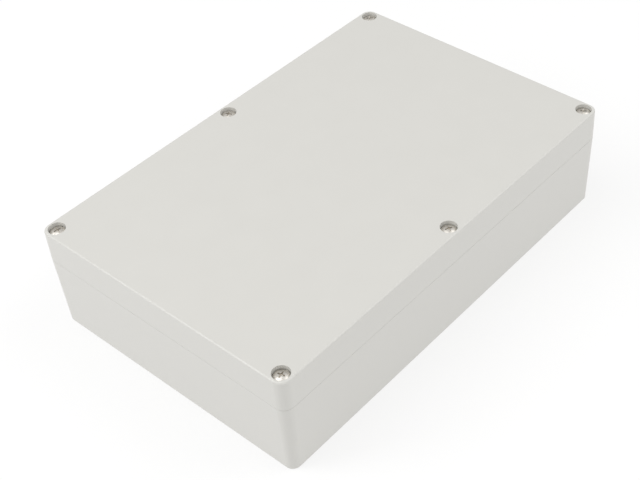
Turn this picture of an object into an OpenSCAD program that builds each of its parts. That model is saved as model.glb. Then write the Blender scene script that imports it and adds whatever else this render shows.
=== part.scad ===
/* [Outer shell] */
// Length of the enclosure at the parting line
length = 222; // [170:1:300]
// Width of the enclosure at the parting line
width = 146; // [110:1:200]
// Height of the base, up to the parting line
base_h = 39; // [26:1:70]
// Height of the lid above the parting line
lid_h = 16; // [13:0.5:40]
// Radius of the upright corners at the parting line
corner_r = 5; // [4:0.1:8]
// Draft angle of the base's outer walls
base_draft = 1.25; // [0.25:0.05:1.5]
// Draft angle of the lid's outer walls
lid_draft = 0.5; // [0.25:0.05:1.5]
// Radius of the lid's top edge
top_edge_r = 1; // [0.4:0.1:1.4]
// Radius of the base's bottom edge
foot_edge_r = 0.5; // [0.3:0.1:1.4]
// Thickness of the base's side walls
wall = 3.2; // [2.8:0.1:4]
// Radius of the upright corners inside the base
inner_r = 2; // [1.8:0.1:4]
// Thickness of the floor
floor_t = 3; // [2:0.1:5]
// Thickness of the lid's roof
roof_t = 3; // [2:0.1:5]
// Height of the shadow gap that shows at the parting line
seam_gap = 0.3; // [0.1:0.05:0.6]
// Depth of the shadow gap
seam_depth = 0.6; // [0.3:0.1:0.8]

/* [Sealing rim] */
// Thickness of the tongue and of the sealing wall below it
tongue_t = 1.5; // [1.2:0.1:1.8]
// Height of the tongue above the parting line
tongue_h = 3; // [2:0.25:4]
// Ledge left on the side wall, inside the tongue
rim_ledge = 0.2; // [0.1:0.05:0.4]
// Play on each side of the tongue in the lid's groove
tongue_play = 0.15; // [0.1:0.05:0.25]
// Thickness of the lip on the inner side of the lid's groove
lip_t = 1.5; // [1:0.1:2]
// Thickness of the lid between the groove and the holes outside it
groove_wall = 1.5; // [1:0.1:2]
// Least radius of a bend in the rim, and the straight run left between two bends
least_r = 0.3; // [0.2:0.05:0.5]
// Play round the sealing cord in the room that the groove leaves above the tongue
seal_play = 0.03; // [0.02:0.01:0.08]

/* [Lid screws] */
// Diameter of the screw thread
screw_d = 3.5; // [3:0.1:4.5]
// Depth by which the plain shank is thinner than the thread
shank_step = 0.15; // [0.1:0.05:0.3]
// Length of thread that engages the insert
thread_grip = 5.8; // [3:0.1:6.5]
// Length of the threaded end
thread_l = 9; // [6:0.5:11]
// Chamfer on the tip of the screw
tip_chamfer = 0.4; // [0.2:0.05:0.6]
// Diameter of the screw head
head_d = 7.2; // [6:0.1:9]
// Height of the screw head
head_h = 2; // [1.6:0.1:2.6]
// Rise of the dome on the screw head
head_dome = 1.1; // [0.4:0.1:1.4]
// Span of the cross recess in the head
cross_span = 3.6; // [3:0.1:4.4]
// Width of each arm of the cross recess
cross_w = 0.8; // [0.6:0.1:1]
// Depth of the cross recess
cross_depth = 1.3; // [0.9:0.1:1.5]
// Angle by which the ends of the cross recess slope inwards
cross_taper = 26; // [10:1:30]
// Play round the screw head in its recess
head_play = 0.35; // [0.2:0.05:0.6]
// Depth of the recess, down to its flat seat
recess_depth = 2.8; // [1.6:0.1:3.6]
// Play round the thread in the lid's clearance hole
hole_play = 0.2; // [0.15:0.05:0.4]
// Width of the land between the recess and the outline
edge_land = 1.55; // [1.3:0.05:3]

/* [Screw bosses] */
// Play between the screw thread and the bore of the insert
thread_play = 0.05; // [0.03:0.01:0.1]
// Wall of each threaded insert
insert_wall = 0.7; // [0.5:0.05:1]
// Length of each threaded insert
insert_l = 7; // [5.5:0.5:9]
// Play between insert and boss
insert_play = 0.02; // [0.01:0.01:0.05]
// Wall of the spigot on top of each boss, which the lid fits over
spigot_wall = 1.3; // [1:0.05:1.6]
// Play between the spigot and its socket in the lid, at the side and on top
spigot_play = 0.2; // [0.1:0.05:0.3]
// Width of the step between the spigot and the boss below it
boss_step = 0.7; // [0.4:0.05:1]
// Room left in the boss under the insert
boss_run_out = 3; // [1:0.5:5]

/* [Wall fixing] */
// Distance from the end outline to the axis of each wall hole
fix_inset_x = 16; // [15:0.5:24]
// Distance from the side outline to the axis of each wall hole
fix_inset_y = 8; // [7.5:0.25:12]
// Diameter of the wall holes
fix_hole_d = 4.3; // [3.5:0.1:5.5]
// Radius of the well around each wall hole, outside the seal
well_r = 5; // [4.5:0.1:6]

/* [Board posts] */
// Distance from the end outline to the axis of each outer post
post_inset_x = 23; // [18:0.5:40]
// Distance from the side outline to the axis of each post
post_inset_y = 25; // [22:0.5:40]
// Diameter of the pilot hole in each post
pilot_d = 2.2; // [1.8:0.1:2.8]
// Wall of each post
post_wall = 1.9; // [1.2:0.1:3]
// Height of each post above the floor
post_h = 6; // [4:0.5:12]

/* [Hidden] */
$fn = 96;
over = 1;
// Points closer than this count as one
same = 0.001;

seam_z = base_h;
top_z = base_h + lid_h;
tongue_top_z = seam_z + tongue_h;
seat_z = top_z - recess_depth;
insert_bottom_z = tongue_top_z - insert_l;
post_top_z = floor_t + post_h;
// Ribs, bosses and posts start inside the floor.
root_z = floor_t / 2;

shank_d = screw_d - 2 * shank_step;
screw_hole_d = screw_d + 2 * hole_play;
recess_d = head_d + 2 * head_play;
insert_bore_d = screw_d + 2 * thread_play;
insert_d = insert_bore_d + 2 * insert_wall;
spigot_d = insert_d + 2 * spigot_wall;
socket_d = spigot_d + 2 * spigot_play;
boss_d = spigot_d + 2 * boss_step;
post_d = pilot_d + 2 * post_wall;
screw_l = seat_z - tongue_top_z + thread_grip;

half_l = length / 2;
half_w = width / 2;
tongue_inset = wall - rim_ledge - tongue_t;
screw_inset = max(recess_d / 2 + edge_land, socket_d / 2 + tongue_inset);
screw_x = half_l - screw_inset;
screw_y = half_w - screw_inset;

// The groove is as tall above the tongue as it is wide, and the cord fills that room.
groove_w = tongue_t + 2 * tongue_play;
groove_top_z = tongue_top_z + groove_w;
seal_d = groove_w - 2 * seal_play;
seal_z = (tongue_top_z + groove_top_z) / 2;

// The sealing path steps inwards round each screw and wall hole, so that all holes stay outside it.
mid_pocket_r = socket_d / 2 + groove_wall;
pocket_l = fix_inset_x + well_r;
pocket_w = fix_inset_y + well_r;
rim_r = screw_inset - tongue_inset - least_r;
lip_outer = tongue_t + tongue_play;
lip_inner = lip_outer + lip_t;

shell_colour = [0.87, 0.865, 0.845];
seal_colour = [0.89, 0.83, 0.68];
screw_colour = [0.72, 0.70, 0.66];
brass_colour = [0.80, 0.62, 0.28];

places = ["front_left", "front_middle", "front_right", "rear_left", "rear_middle", "rear_right"];
screw_at = [for (y = [-1, 1], x = [-1, 0, 1]) [x * screw_x, y * screw_y]];

// Sealing path

// One quarter of the path at inset d from the tongue's outer face: its corners with their fillet radii,
// and 1 where the path bulges outwards or -1 where it bends round a pocket
function quarter_path(d) =
    let (
        side_x = half_l - tongue_inset - d,
        side_y = half_w - tongue_inset - d,
        pocket_x = half_l - pocket_l - d,
        pocket_y = half_w - pocket_w - d,
        mid_r = mid_pocket_r + d,
        turn_r = max(rim_r - d, least_r)
    )
    [
        [side_x, pocket_y, turn_r, 1],
        [pocket_x, pocket_y, well_r + d, -1],
        [pocket_x, side_y, turn_r, 1],
        [mid_r, side_y, turn_r, 1],
        [mid_r, screw_y - mid_r, mid_r, -1]
    ];

function reversed(list) = [for (i = [len(list) - 1 : -1 : 0]) list[i]];

function mirrored(corners, sx, sy) = [for (c = corners) [sx * c[0], sy * c[1], c[2], c[3]]];

// The whole path, quarter by quarter
function path_corners(d) =
    let (q = quarter_path(d))
    concat(q, reversed(mirrored(q, -1, 1)), mirrored(q, -1, -1), reversed(mirrored(q, 1, -1)));

function direction(from, to) =
    let (v = [to[0] - from[0], to[1] - from[1]])
    v / norm(v);

// Each corner's fillet: where it starts, its centre, where it ends, its radius and which way it bends
function path_fillets(d) =
    let (
        corners = path_corners(d),
        n = len(corners)
    )
    [for (i = [0 : n - 1])
        let (
            c = corners[i],
            at = [c[0], c[1]],
            u = c[2] * direction(c, corners[(i + n - 1) % n]),
            v = c[2] * direction(c, corners[(i + 1) % n])
        )
        [at + u, at + u + v, at + v, c[2], c[3]]
    ];

// Angle at which the middle of a fillet lies from its centre
function fillet_angle(fillet) =
    let (v = fillet[0] + fillet[2] - 2 * fillet[1])
    atan2(v[1], v[0]);

// The path with each fillet replaced by its two radii; fillets about one centre share them
function spoked_path(fillets) =
    let (n = len(fillets))
    [for (i = [0 : n - 1])
        let (
            before = fillets[(i + n - 1) % n],
            fillet = fillets[i],
            after = fillets[(i + 1) % n]
        )
        each [
            if (norm(fillet[0] - before[2]) > same) fillet[0],
            if (norm(fillet[1] - before[1]) > same) fillet[1],
            if (norm(fillet[1] - after[1]) > same) fillet[2]
        ]
    ];

// The quarter discs of the fillets that bend one way
module fillet_discs(fillets, bend) {
    for (f = fillets) if (f[4] == bend) sector(f[1], f[3], fillet_angle(f) - 45, fillet_angle(f) + 45);
}

// The area inside the sealing path
module sealed_area(d) {
    fillets = path_fillets(d);
    difference() {
        union() {
            polygon(spoked_path(fillets));
            fillet_discs(fillets, 1);
        }
        fillet_discs(fillets, -1);
    }
}

// A section swept along the sealing path
module along_path(d) {
    fillets = path_fillets(d);
    n = len(fillets);
    for (i = [0 : n - 1]) {
        f = fillets[i];
        run = fillets[(i + 1) % n][0] - f[2];
        translate(f[1]) rotate(fillet_angle(f) - 45) rotate_extrude(angle = 90) translate([f[3], 0]) children();
        if (norm(run) > same) {
            translate(f[2]) rotate([0, 90, atan2(run[1], run[0])]) linear_extrude(norm(run)) children();
        }
    }
}

// The band between two insets of the sealing path
module rim_band(outer, inner) {
    difference() {
        sealed_area(outer);
        sealed_area(inner);
    }
}

// Shell profiles, drawn outwards from the axis of an upright corner

function on_circle(angle) = [cos(angle), sin(angle)];

// The part of a disc between two angles
module sector(centre, r, from, to) {
    intersection() {
        translate(centre) circle(r);
        polygon([
            centre,
            centre + 2 * r * on_circle(from),
            centre + 2 * r * on_circle((from + to) / 2),
            centre + 2 * r * on_circle(to)
        ]);
    }
}

module base_profile() {
    a = base_draft;
    r = foot_edge_r;
    centre = [corner_r + (sin(a) * (r - base_h) - r) / cos(a), r];
    gap_z = base_h - seam_gap;
    gap_x = corner_r - seam_gap * tan(a);
    polygon([
        [0, 0],
        [centre[0], 0],
        centre,
        centre + r * on_circle(-a),
        [gap_x, gap_z],
        [corner_r - seam_depth, gap_z],
        [corner_r - seam_depth, base_h],
        [0, base_h]
    ]);
    sector(centre, r, -90, -a);
}

module base_cavity_profile() {
    taper = tan(base_draft);
    polygon([
        [0, floor_t],
        [inner_r - (base_h - floor_t) * taper, floor_t],
        [inner_r + over * taper, base_h + over],
        [0, base_h + over]
    ]);
}

module lid_profile() {
    a = lid_draft;
    r = top_edge_r;
    centre = [corner_r - (sin(a) * (lid_h - r) + r) / cos(a), top_z - r];
    polygon([
        [0, seam_z],
        [corner_r, seam_z],
        centre + r * on_circle(a),
        centre,
        [centre[0], top_z],
        [0, top_z]
    ]);
    sector(centre, r, a, 90);
}

// A rounded box whose walls all follow the given profile, with its corner axes at an inset from the outline
module profiled_box(axis_inset, bottom, top) {
    core_l = length - 2 * axis_inset;
    core_w = width - 2 * axis_inset;
    translate([-core_l / 2, -core_w / 2, bottom]) cube([core_l, core_w, top - bottom]);
    for (turn = [0, 180]) {
        rotate(turn) translate([core_l / 2, 0, 0]) {
            rotate([90, 0, 0]) linear_extrude(core_w, center = true) children();
        }
        rotate(turn + 90) translate([core_w / 2, 0, 0]) {
            rotate([90, 0, 0]) linear_extrude(core_l, center = true) children();
        }
        rotate(turn) translate([core_l / 2, core_w / 2, 0]) rotate_extrude(angle = 90) children();
        rotate(turn + 90) translate([core_w / 2, core_l / 2, 0]) rotate_extrude(angle = 90) children();
    }
}

module prism(from_z, to_z) {
    translate([0, 0, from_z]) linear_extrude(to_z - from_z) children();
}

module rod(d, from_z, to_z) {
    translate([0, 0, from_z]) cylinder(d = d, h = to_z - from_z);
}

module at_screws() {
    for (p = screw_at) translate(p) children();
}

module at_wall_holes() {
    for (x = [-1, 1], y = [-1, 1]) {
        translate([x * (half_l - fix_inset_x), y * (half_w - fix_inset_y), 0]) children();
    }
}

module at_posts() {
    for (x = [-1, 0, 1], y = [-1, 1]) {
        translate([x * (half_l - post_inset_x), y * (half_w - post_inset_y), 0]) children();
    }
}

// Area inside a line that runs within the side walls
module inside_walls() {
    square([length - 2 * tongue_inset, width - 2 * tongue_inset], center = true);
}

// Sub-parts

// Outlines of the screw bosses: free in the corner wells, and filling the pocket at the middle of each side
module boss_outlines() {
    intersection() {
        union() {
            at_screws() circle(d = boss_d);
            for (y = [-1, 1]) translate([0, y * screw_y]) circle(mid_pocket_r + tongue_t / 2);
        }
        inside_walls();
    }
}

// Tray with drafted walls, and the sealing wall that carries the tongue round the screw pockets
module base() {
    color(shell_colour) difference() {
        union() {
            difference() {
                profiled_box(corner_r, 0, base_h) base_profile();
                profiled_box(wall + inner_r, floor_t, base_h + over) base_cavity_profile();
            }
            prism(root_z, tongue_top_z) rim_band(0, tongue_t);
            prism(root_z, seam_z) boss_outlines();
            at_screws() rod(spigot_d, insert_bottom_z, tongue_top_z);
            at_posts() rod(post_d, root_z, post_top_z);
        }
        at_screws() {
            rod(insert_d, insert_bottom_z, tongue_top_z + over);
            rod(insert_bore_d, insert_bottom_z - boss_run_out, tongue_top_z);
        }
        at_wall_holes() rod(fix_hole_d, -over, floor_t + over);
        at_posts() rod(pilot_d, floor_t, post_top_z + over);
    }
}

// Cover with the seal's groove, screw columns and head recesses
module lid() {
    color(shell_colour) difference() {
        profiled_box(corner_r, seam_z, top_z) lid_profile();
        prism(seam_z - over, top_z - roof_t) sealed_area(lip_inner);
        prism(seam_z - over, groove_top_z) rim_band(-tongue_play, lip_outer);
        at_wall_holes() rod(2 * (well_r - groove_wall), seam_z - over, top_z - roof_t);
        at_screws() {
            rod(socket_d, seam_z - over, tongue_top_z + spigot_play);
            rod(screw_hole_d, seam_z, top_z + over);
            rod(recess_d, seat_z, top_z + over);
        }
    }
}

// Soft cord in the top of the groove, which the tongue presses on
module seal() {
    color(seal_colour) translate([0, 0, seal_z]) along_path(tongue_t / 2) circle(d = seal_d, $fn = 48);
}

// Crossed slots whose ends slope inwards
module cross_recess() {
    slope = tan(cross_taper);
    half_top = cross_span / 2 + over * slope;
    half_tip = cross_span / 2 - cross_depth * slope;
    for (turn = [0, 90]) rotate([90, 0, turn]) linear_extrude(cross_w, center = true) {
        polygon([[-half_top, over], [-half_tip, -cross_depth], [half_tip, -cross_depth], [half_top, over]]);
    }
}

// Pan-head machine screw with a cross recess and a thread on its lower end
module lid_screw(place) {
    dome_r = (pow(head_d / 2, 2) + pow(head_dome, 2)) / (2 * head_dome);
    head_top_z = seat_z + head_h;
    tip_z = seat_z - screw_l;
    color(screw_colour) translate(screw_at[place]) {
        difference() {
            intersection() {
                rod(head_d, seat_z, head_top_z);
                translate([0, 0, head_top_z - dome_r]) sphere(dome_r);
            }
            translate([0, 0, head_top_z]) cross_recess();
        }
        rod(shank_d, tip_z + thread_l, seat_z);
        rod(screw_d, tip_z + tip_chamfer, tip_z + thread_l);
        translate([0, 0, tip_z]) cylinder(d1 = screw_d - 2 * tip_chamfer, d2 = screw_d, h = tip_chamfer);
    }
}

// Brass bush with a waist between its two gripping bands
module insert(place) {
    band = insert_l / 3;
    waist_d = (insert_d + insert_bore_d) / 2;
    color(brass_colour) translate(screw_at[place]) difference() {
        union() {
            rod(insert_d - 2 * insert_play, insert_bottom_z, insert_bottom_z + band);
            rod(waist_d, insert_bottom_z, tongue_top_z);
            rod(insert_d - 2 * insert_play, tongue_top_z - band, tongue_top_z);
        }
        rod(insert_bore_d, insert_bottom_z - over, tongue_top_z + over);
    }
}

base();
lid();
seal();
for (i = [0 : len(places) - 1]) {
    lid_screw(i);
    insert(i);
}
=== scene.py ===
"""A sealed plastic enclosure with its lid screwed on, on a pale floor under soft studio light."""
import math

import bmesh
import bpy
from mathutils import Matrix, Vector


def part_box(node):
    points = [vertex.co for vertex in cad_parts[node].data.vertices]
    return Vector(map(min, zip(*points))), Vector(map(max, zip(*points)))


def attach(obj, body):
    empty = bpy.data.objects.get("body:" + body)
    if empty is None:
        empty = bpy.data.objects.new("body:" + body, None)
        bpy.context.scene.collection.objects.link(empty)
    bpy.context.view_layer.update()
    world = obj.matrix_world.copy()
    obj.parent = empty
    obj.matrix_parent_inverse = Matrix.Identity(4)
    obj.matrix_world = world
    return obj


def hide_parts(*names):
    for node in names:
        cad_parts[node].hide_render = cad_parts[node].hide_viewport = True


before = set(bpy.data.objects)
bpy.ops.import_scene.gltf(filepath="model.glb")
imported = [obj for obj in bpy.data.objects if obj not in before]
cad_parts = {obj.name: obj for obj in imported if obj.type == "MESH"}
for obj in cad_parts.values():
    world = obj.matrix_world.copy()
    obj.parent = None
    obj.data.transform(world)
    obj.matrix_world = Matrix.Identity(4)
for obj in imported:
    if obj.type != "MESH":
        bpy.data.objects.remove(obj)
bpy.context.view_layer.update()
scene = bpy.context.scene

MM = 0.001
PLACES = ("front_left", "front_middle", "front_right", "rear_left", "rear_middle", "rear_right")

# Camera: where it stands, how it is turned in degrees, and its lens in pixels of the picture
PICTURE_PX = (640, 480)
FOCAL_PX = 1226.8
OPTICAL_CENTRE_PX = (400, 250)
CAMERA_AT = (-310.2 * MM, -307.8 * MM, 412.5 * MM)
AZIMUTH, ELEVATION, ROLL = -49.10, 43.38, -2.20

# The shell's seam, in millimetres and degrees: the cut that the CAD solids leave, and how much of it shows
CORNER_R = 5.0
BASE_DRAFT = 1.25
SEAM_CUT = 0.3
SEAM_DEPTH = 0.6
SEAM_SHOWN = 0.12

# Lid screws and threaded inserts, in millimetres and degrees
HEAD_H = 2.0
HEAD_DOME = 1.1
HEAD_RIM_R = 0.18
SHANK_D = 3.2
THREAD_D = 3.5
THREAD_L = 9.0
THREAD_PITCH = 0.6
THREAD_DEPTH = 0.36
THREAD_CLEARANCE = 0.05
TIP_CHAMFER = 0.4
CROSS_SPAN = 3.6
CROSS_W = 0.8
CROSS_DEPTH = 1.3
CROSS_TAPER = 26
CROSS_FLOOR_SHARE = 0.7
CROSS_POINT = 0.25
CUTTER_RISE = 0.4
INSERT_CHAMFER = 0.15
KNURL_DEPTH = 0.16
KNURL_COUNT = 18
# A thread's section over one pitch: a narrow crest, a flank, a wider root and the flank back up
THREAD_STOPS = (0, 0.125, 0.4375, 0.6875)
THREAD_HEIGHTS = (1, 1, 0, 0)
# How far each screw ended up turned when it was driven home, in degrees
SCREW_TURNS = (12, 61, 33, 78, 24, 47)

# Fineness of the meshes: steps round a piece, a corner, a dome and a knurled band
ROUND_STEPS = 72
CORNER_STEPS = 16
DOME_STEPS = 14
BAND_STEPS = 14
# Distances in millimetres at which points and edges merge or count as level, and the angle of a sharp crease
MERGE_DISTANCE = 0.002
SLIVER_LENGTH = 0.001
LEVEL_TOLERANCE = 0.01
SHARP_ANGLE = math.radians(35)

# The span that most values of a noise texture fall in
NOISE_LOW, NOISE_HIGH = 0.3, 0.7

# Studio, in metres; each soft box has a name, a place, a size and a strength in watts
FLOOR_HALF = 6
FLOOR_GREY = 0.3
FLOOR_GLOW = 0.675
SKY_COLOUR = (1.0, 0.998, 0.99, 1)
SKY_STRENGTH = 0.62
BOX_AIM = (0, 0, 0.04)
SOFT_BOXES = (
    ("key_box", (-0.80, 0.65, 0.85), 0.6, 4.8),
    ("fill_box", (0.65, -0.60, 0.95), 1.0, 4.6),
    ("front_box", (-0.65, -0.75, 0.50), 0.6, 0.8),
    ("over_box", (-0.35, 0.25, 1.30), 0.8, 3.5),
)


# Mesh helpers

def mesh_object(name, bm):
    """A new object from a bmesh, with smooth faces and sharp creases."""
    mesh = bpy.data.meshes.new(name)
    bmesh.ops.recalc_face_normals(bm, faces=bm.faces)
    bm.to_mesh(mesh)
    bm.free()
    mesh.shade_smooth()
    mesh.set_sharp_from_angle(angle=SHARP_ANGLE)
    made = bpy.data.objects.new(name, mesh)
    scene.collection.objects.link(made)
    return made


def turned(profile):
    """A solid of revolution from (radius, height) points, with its first and last on the axis."""
    bm = bmesh.new()
    rows = []
    for radius, height in profile:
        if radius == 0:
            rows.append([bm.verts.new((0, 0, height))] * ROUND_STEPS)
            continue
        angles = [2 * math.pi * i / ROUND_STEPS for i in range(ROUND_STEPS)]
        rows.append([bm.verts.new((radius * math.cos(a), radius * math.sin(a), height)) for a in angles])
    for low, high in zip(rows, rows[1:]):
        for i in range(ROUND_STEPS):
            j = (i + 1) % ROUND_STEPS
            corners = list(dict.fromkeys((low[i], low[j], high[j], high[i])))
            bm.faces.new(corners)
    return bm


def combined(target, other, operation):
    """Target after a boolean with other, which is used up."""
    modifier = target.modifiers.new(operation.lower(), "BOOLEAN")
    modifier.operation = operation
    modifier.solver = "EXACT"
    modifier.object = other
    graph = bpy.context.evaluated_depsgraph_get()
    mesh = bpy.data.meshes.new_from_object(target.evaluated_get(graph))
    target.modifiers.clear()
    target.data = mesh
    bpy.data.objects.remove(other)
    return target


def helical_wall(low, high, radius_at):
    """A round wall whose rows run along the thread; radius_at takes a place in the pitch and a height."""
    bm = bmesh.new()
    turns = math.ceil((high - low) / THREAD_PITCH) + 2
    stops = [turn + share for turn in range(turns) for share in THREAD_STOPS]
    per_pitch = len(THREAD_STOPS)
    columns = []
    for i in range(ROUND_STEPS):
        share = i / ROUND_STEPS
        column = []
        for stop in stops:
            height = min(max(low + THREAD_PITCH * (stop + share - 1), low), high)
            radius = radius_at(stop % 1, height)
            angle = 2 * math.pi * share
            column.append(bm.verts.new((radius * math.cos(angle), radius * math.sin(angle), height)))
        columns.append(column)
    for i in range(ROUND_STEPS):
        here, there = columns[i], columns[(i + 1) % ROUND_STEPS]
        shift = per_pitch if i == ROUND_STEPS - 1 else 0
        for j in range(len(stops) - 1 - shift):
            bm.faces.new((here[j], there[j + shift], there[j + shift + 1], here[j + 1]))
    bmesh.ops.remove_doubles(bm, verts=bm.verts, dist=MERGE_DISTANCE)
    bmesh.ops.dissolve_degenerate(bm, dist=SLIVER_LENGTH, edges=bm.edges)
    return bm


def thread_radius(share):
    """Radius of the screw thread at a place in the pitch."""
    return THREAD_D / 2 - THREAD_DEPTH * (1 - THREAD_HEIGHTS[THREAD_STOPS.index(share)])


# Lid screws

def screw_head(head_d):
    """Low domed head with a rounded rim, seated at height 0."""
    r = head_d / 2
    dome_r = (r ** 2 + HEAD_DOME ** 2) / (2 * HEAD_DOME)
    rim_z = HEAD_H - HEAD_DOME
    dome = []
    for i in range(DOME_STEPS + 1):
        x = (r - HEAD_RIM_R) * i / DOME_STEPS
        dome.append((x, HEAD_H - dome_r + math.sqrt(dome_r ** 2 - x ** 2)))
    rim = []
    for angle in (60, 40, 20, 0):
        a = math.radians(angle)
        rim.append((r - HEAD_RIM_R * (1 - math.cos(a)), rim_z - HEAD_RIM_R * (1 - math.sin(a))))
    foot = [(r, HEAD_RIM_R), (r - HEAD_RIM_R, 0), (0, 0)]
    return mesh_object("head", turned(dome + rim + foot))


def cross_cutter():
    """Tapered cross with rounded inner corners and a drilled point."""
    slope = math.tan(math.radians(CROSS_TAPER))
    fillet = CROSS_W / 4

    def outline(span, width, height):
        half, arm = span / 2, width / 2
        points = []
        for quarter in range(4):
            turn = Matrix.Rotation(math.radians(90 * quarter), 3, "Z")
            corner = [(half, -arm), (half, arm)]
            centre = arm + fillet
            for step in range(4):
                a = math.radians(270 - 30 * step)
                corner.append((centre + fillet * math.cos(a), centre + fillet * math.sin(a)))
            points += [turn @ Vector((x, y, height)) for x, y in corner]
        return points

    bm = bmesh.new()
    levels = [
        outline(CROSS_SPAN + 2 * CUTTER_RISE * slope, CROSS_W, HEAD_H + CUTTER_RISE),
        outline(CROSS_SPAN - 2 * CROSS_DEPTH * slope, CROSS_W * CROSS_FLOOR_SHARE, HEAD_H - CROSS_DEPTH),
    ]
    rows = [[bm.verts.new(p) for p in level] for level in levels]
    point = bm.verts.new((0, 0, HEAD_H - CROSS_DEPTH - CROSS_POINT))
    n = len(rows[0])
    for i in range(n):
        j = (i + 1) % n
        bm.faces.new((rows[0][i], rows[0][j], rows[1][j], rows[1][i]))
        bm.faces.new((rows[1][i], rows[1][j], point))
    bm.faces.new(rows[0])
    return mesh_object("cross", bm)


def screw_shank(length):
    """Plain neck and threaded end, from inside the head down to the tip."""
    tip, neck, inside = -length, -length + THREAD_L, HEAD_H / 8

    def radius_at(share, height):
        run_out = min(max((height - neck + THREAD_PITCH) / THREAD_PITCH, 0), 1)
        radius = thread_radius(share) * (1 - run_out) + SHANK_D / 2 * run_out
        return min(radius, THREAD_D / 2 - TIP_CHAMFER + (height - tip))

    bm = helical_wall(tip, neck, radius_at)
    top = [e for e in bm.edges if e.is_boundary and e.verts[0].co.z > (tip + neck) / 2]
    raised = bmesh.ops.extrude_edge_only(bm, edges=top)["geom"]
    for v in (g for g in raised if isinstance(g, bmesh.types.BMVert)):
        v.co.z = inside
    bmesh.ops.holes_fill(bm, edges=[e for e in bm.edges if e.is_boundary], sides=0)
    return mesh_object("shank", bm)


def lid_screw_mesh():
    """One lid screw about the origin, with its seat at height 0, in metres."""
    low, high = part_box("lid_screw_front_left")
    head_d = (high.x - low.x) / MM
    length = (high.z - low.z) / MM - HEAD_H
    screw = combined(screw_head(head_d), cross_cutter(), "DIFFERENCE")
    screw = combined(screw, screw_shank(length), "UNION")
    return finished_mesh(screw, "lid_screw")


def finished_mesh(made, name):
    """The mesh of a helper object, scaled to metres; the object itself goes."""
    mesh = made.data
    mesh.name = name
    mesh.transform(Matrix.Scale(MM, 4))
    mesh.shade_smooth()
    mesh.set_sharp_from_angle(angle=SHARP_ANGLE)
    bpy.data.objects.remove(made)
    return mesh


# Threaded inserts

def triangle_wave(x):
    """A wave of period 1 that falls from 1 to 0 and rises back to 1."""
    return abs(2 * (x % 1) - 1)


def insert_mesh():
    """Brass bush with two knurled bands and a threaded bore, standing on height 0, in metres."""
    low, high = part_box("insert_front_left")
    r = (high.x - low.x) / 2 / MM
    length = (high.z - low.z) / MM
    band = length / 3
    bore_r = THREAD_D / 2 + THREAD_CLEARANCE
    waist_r = (r + bore_r) / 2
    knurl_rise = 2 * math.pi * r / KNURL_COUNT

    def bore_radius(share, height):
        end = min(height, length - height)
        return max(thread_radius(share) + THREAD_CLEARANCE, bore_r + INSERT_CHAMFER - end)

    bm = helical_wall(0, length, bore_radius)
    rims = [e for e in bm.edges if e.is_boundary]

    band_heights = [INSERT_CHAMFER + (band - INSERT_CHAMFER) * i / BAND_STEPS for i in range(BAND_STEPS + 1)]
    rows = [(0, r - INSERT_CHAMFER, False)]
    rows += [(z, r, True) for z in band_heights]
    rows += [(band, waist_r, False), (length - band, waist_r, False)]
    rows += [(length - z, r, True) for z in reversed(band_heights)]
    rows += [(length, r - INSERT_CHAMFER, False)]
    rings = []
    for z, radius, knurled in rows:
        ring = []
        for i in range(ROUND_STEPS):
            share = i / ROUND_STEPS
            cut = 0
            if knurled:
                around = share * KNURL_COUNT
                up = z / knurl_rise
                cut = KNURL_DEPTH * max(triangle_wave(around + up), triangle_wave(around - up))
            angle = 2 * math.pi * share
            ring.append(bm.verts.new(((radius - cut) * math.cos(angle), (radius - cut) * math.sin(angle), z)))
        rings.append(ring)
    for below, above in zip(rings, rings[1:]):
        for i in range(ROUND_STEPS):
            j = (i + 1) % ROUND_STEPS
            bm.faces.new((below[i], below[j], above[j], above[i]))
    for ring, height in ((rings[0], 0), (rings[-1], length)):
        outer = [bm.edges.get((ring[i], ring[(i + 1) % ROUND_STEPS])) for i in range(ROUND_STEPS)]
        inner = [e for e in rims if abs(e.verts[0].co.z - height) < LEVEL_TOLERANCE]
        bmesh.ops.bridge_loops(bm, edges=outer + inner)
    return finished_mesh(mesh_object("insert", bm), "insert")


# Seam

def rounded_outline(half_x, half_y, inset):
    """The shell's plan outline at an inset, with its upright corners as arcs."""
    points = []
    for quarter, (sx, sy) in enumerate(((1, 1), (-1, 1), (-1, -1), (1, -1))):
        for i in range(CORNER_STEPS + 1):
            a = math.radians(90 * (quarter + i / CORNER_STEPS))
            x = sx * (half_x - CORNER_R) + (CORNER_R - inset) * math.cos(a)
            y = sy * (half_y - CORNER_R) + (CORNER_R - inset) * math.sin(a)
            points.append((x, y))
    return points


def seam_land_mesh():
    """A thin land on the base's rim that closes the cut under the lid to the fine line that shows."""
    low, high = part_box("lid")
    half_x, half_y, seam_z = high.x / MM, high.y / MM, low.z / MM
    slope = math.tan(math.radians(BASE_DRAFT))
    section = [(SEAM_CUT, SEAM_CUT * slope), (SEAM_SHOWN, SEAM_SHOWN * slope)]
    section += [(SEAM_SHOWN, SEAM_DEPTH), (SEAM_CUT, SEAM_DEPTH)]
    bm = bmesh.new()
    rings = []
    for drop, inset in section:
        outline = rounded_outline(half_x, half_y, inset)
        rings.append([bm.verts.new((x, y, seam_z - drop)) for x, y in outline])
    n = len(rings[0])
    for here, there in zip(rings, rings[1:] + rings[:1]):
        for i in range(n):
            j = (i + 1) % n
            bm.faces.new((here[i], here[j], there[j], there[i]))
    return finished_mesh(mesh_object("seam_land", bm), "seam_land")


# Materials

def principled(name, **values):
    """A material whose fixed values sit on the shader's own sockets."""
    made = bpy.data.materials.new(name)
    made.use_nodes = True
    shader = made.node_tree.nodes["Principled BSDF"]
    for socket, value in values.items():
        shader.inputs[socket.replace("_", " ")].default_value = value
    return made


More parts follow.
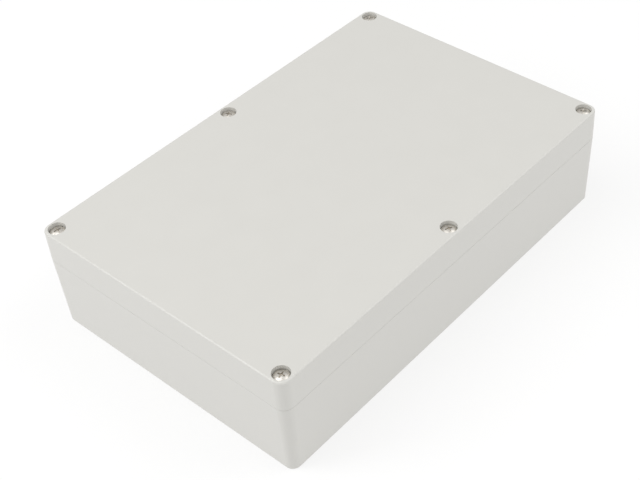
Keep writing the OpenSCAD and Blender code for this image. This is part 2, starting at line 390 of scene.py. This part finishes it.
def noise(made, scale, detail=2.0):
    """Noise over the object's own coordinates, with about scale grains to the metre."""
    tree = made.node_tree
    place = tree.nodes.get("Texture Coordinate") or tree.nodes.new("ShaderNodeTexCoord")
    node = tree.nodes.new("ShaderNodeTexNoise")
    node.inputs["Scale"].default_value = scale
    node.inputs["Detail"].default_value = detail
    tree.links.new(place.outputs["Object"], node.inputs["Vector"])
    return node.outputs["Fac"]


def ranged(made, value, low, high):
    """Value, a noise, spread between low and high."""
    node = made.node_tree.nodes.new("ShaderNodeMapRange")
    node.inputs["From Min"].default_value = NOISE_LOW
    node.inputs["From Max"].default_value = NOISE_HIGH
    node.inputs["To Min"].default_value = low
    node.inputs["To Max"].default_value = high
    made.node_tree.links.new(value, node.inputs["Value"])
    return node.outputs["Result"]


def blended(made, value, first, second):
    """A colour between two, by value."""
    node = made.node_tree.nodes.new("ShaderNodeMix")
    node.data_type = "RGBA"
    node.inputs["A"].default_value = (*first, 1)
    node.inputs["B"].default_value = (*second, 1)
    made.node_tree.links.new(value, node.inputs["Factor"])
    return node.outputs["Result"]


def bumped(made, *layers):
    """Stacks bumps, each a height and a depth in metres."""
    tree = made.node_tree
    normal = None
    for height, depth in layers:
        node = tree.nodes.new("ShaderNodeBump")
        node.inputs["Distance"].default_value = depth
        tree.links.new(height, node.inputs["Height"])
        if normal:
            tree.links.new(normal, node.inputs["Normal"])
        normal = node.outputs["Normal"]
    return normal


def connect(made, **sources):
    """Links node outputs to the shader's sockets."""
    shader = made.node_tree.nodes["Principled BSDF"]
    for socket, source in sources.items():
        made.node_tree.links.new(source, shader.inputs[socket.replace("_", " ")])
    return made


def shell_plastic():
    """Light warm grey plastic with the fine grain of an eroded mould."""
    made = principled("shell_plastic", IOR=1.53)
    mottle = noise(made, 70, 3)
    grain = noise(made, 2600)
    ripple = noise(made, 130)
    return connect(
        made,
        Base_Color=blended(made, mottle, (0.620, 0.612, 0.582), (0.636, 0.628, 0.598)),
        Roughness=ranged(made, mottle, 0.285, 0.36),
        Normal=bumped(made, (grain, 0.012 * MM), (ripple, 0.02 * MM)),
    )


def nickel():
    """Satin nickel plate, slightly warm, with faint stains and handling marks."""
    made = principled("nickel", Metallic=1.0)
    cloud = noise(made, 700, 4)
    scuff = noise(made, 5200)
    return connect(
        made,
        Base_Color=blended(made, cloud, (0.68, 0.65, 0.60), (0.76, 0.73, 0.68)),
        Roughness=ranged(made, cloud, 0.30, 0.46),
        Normal=bumped(made, (scuff, 0.004 * MM)),
    )


def brass():
    """Turned brass, dulled unevenly."""
    made = principled("brass", Metallic=1.0)
    cloud = noise(made, 600, 4)
    scuff = noise(made, 4200)
    return connect(
        made,
        Base_Color=blended(made, cloud, (0.66, 0.46, 0.19), (0.78, 0.58, 0.28)),
        Roughness=ranged(made, cloud, 0.29, 0.44),
        Normal=bumped(made, (scuff, 0.004 * MM)),
    )


def cream_rubber():
    """Cream silicone cord with a faint extruded bloom."""
    made = principled("cream_rubber", IOR=1.43)
    cloud = noise(made, 160, 3)
    skin = noise(made, 3000)
    return connect(
        made,
        Base_Color=blended(made, cloud, (0.69, 0.61, 0.42), (0.76, 0.68, 0.49)),
        Roughness=ranged(made, cloud, 0.52, 0.68),
        Normal=bumped(made, (skin, 0.006 * MM)),
    )


def dress_nodes():
    """Materials on the CAD pieces that show as they are, and the land in the seam."""
    plastic, rubber = shell_plastic(), cream_rubber()
    for name, made in (("base", plastic), ("lid", plastic), ("seal", rubber)):
        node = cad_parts[name]
        for slot in node.material_slots:
            slot.material = made
    land = bpy.data.objects.new("seam_land", seam_land_mesh())
    land.data.materials.append(plastic)
    scene.collection.objects.link(land)
    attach(land, "base")


def add_piece(name, mesh, place, turn, body, node):
    """A detailed piece that stands for a CAD node and moves with its body."""
    piece = bpy.data.objects.new(name, mesh)
    scene.collection.objects.link(piece)
    piece.location = place
    piece.rotation_euler.z = math.radians(turn)
    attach(piece, body)
    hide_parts(node)


def add_screws_and_inserts():
    """A threaded screw and insert for each hole, turned alike so that their threads match."""
    screw, insert = lid_screw_mesh(), insert_mesh()
    screw.materials.clear()
    screw.materials.append(nickel())
    insert.materials.append(brass())
    for place, turn in zip(PLACES, SCREW_TURNS):
        node = "lid_screw_" + place
        low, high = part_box(node)
        axis = (low + high) / 2
        seat = (axis.x, axis.y, high.z - HEAD_H * MM)
        add_piece("threaded_screw_" + place, screw, seat, turn, node, node)
        node = "insert_" + place
        foot = (axis.x, axis.y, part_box(node)[0].z)
        add_piece("knurled_insert_" + place, insert, foot, turn, "base", node)


# Studio

def add_floor():
    """White light table, wide enough to fill every view."""
    bm = bmesh.new()
    bmesh.ops.create_grid(bm, x_segments=1, y_segments=1, size=FLOOR_HALF)
    floor = mesh_object("floor", bm)
    made = principled(
        "floor",
        Base_Color=(FLOOR_GREY, FLOOR_GREY, FLOOR_GREY, 1),
        Roughness=0.9,
        Specular_IOR_Level=0.0,
        Emission_Color=(1, 1, 1, 1),
        Emission_Strength=FLOOR_GLOW,
    )
    floor.data.materials.append(made)


def add_light(name, at, size, watts):
    """Square soft box that points at the enclosure."""
    data = bpy.data.lights.new(name, "AREA")
    data.shape = "SQUARE"
    data.size = size
    data.energy = watts
    lamp = bpy.data.objects.new(name, data)
    scene.collection.objects.link(lamp)
    lamp.location = at
    lamp.rotation_euler = (Vector(BOX_AIM) - Vector(at)).to_track_quat("-Z", "Y").to_euler()


def add_studio():
    """Even white surroundings and large soft boxes; the key box draws the bright line on the left edge."""
    world = bpy.data.worlds.new("studio")
    scene.world = world
    world.use_nodes = True
    sky = world.node_tree.nodes["Background"]
    sky.inputs["Color"].default_value = SKY_COLOUR
    sky.inputs["Strength"].default_value = SKY_STRENGTH
    for name, at, size, watts in SOFT_BOXES:
        add_light(name, at, size, watts)
    scene.view_settings.view_transform = "Standard"


def add_camera():
    """The photograph's view."""
    data = bpy.data.cameras.new("camera")
    width, height = PICTURE_PX
    data.lens = data.sensor_width * FOCAL_PX / width
    data.shift_x = (width / 2 - OPTICAL_CENTRE_PX[0]) / width
    data.shift_y = (OPTICAL_CENTRE_PX[1] - height / 2) / width
    camera = bpy.data.objects.new("camera", data)
    scene.collection.objects.link(camera)
    camera.matrix_world = (
        Matrix.Translation(CAMERA_AT)
        @ Matrix.Rotation(math.radians(AZIMUTH), 4, "Z")
        @ Matrix.Rotation(math.radians(90 - ELEVATION), 4, "X")
        @ Matrix.Rotation(math.radians(ROLL), 4, "Z")
    )
    scene.camera = camera


dress_nodes()
add_screws_and_inserts()
add_floor()
add_studio()
add_camera()
